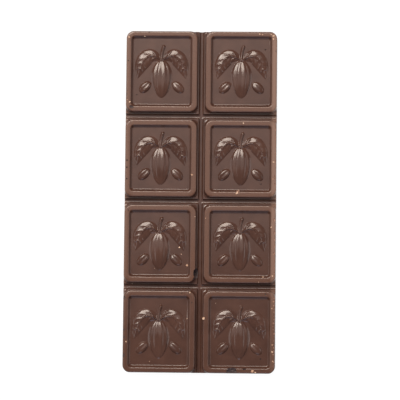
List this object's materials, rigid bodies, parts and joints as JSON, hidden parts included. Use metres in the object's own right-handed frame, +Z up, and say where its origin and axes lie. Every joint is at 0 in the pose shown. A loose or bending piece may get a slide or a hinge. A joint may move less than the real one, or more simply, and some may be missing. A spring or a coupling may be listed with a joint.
{
  "type": "chocolate bar",
  "caption": "Moulded milk chocolate bar parted by grooves into squares, each a sunken panel in a raised rim with a cocoa pod and leaves in relief.",
  "frame": {"origin": "middle of the bar's flat back, on the surface that it lies on", "axes": "+X across the bar's width, +Y along its length, towards the top of the moulded design, +Z up, out of the moulded face"},
  "size_m": [0.0526, 0.118, 0.008],
  "materials": {
    "chocolate": "satin"
  },
  "bodies": {
    "root": {"bar": "chocolate"}
  },
  "joints": []
}
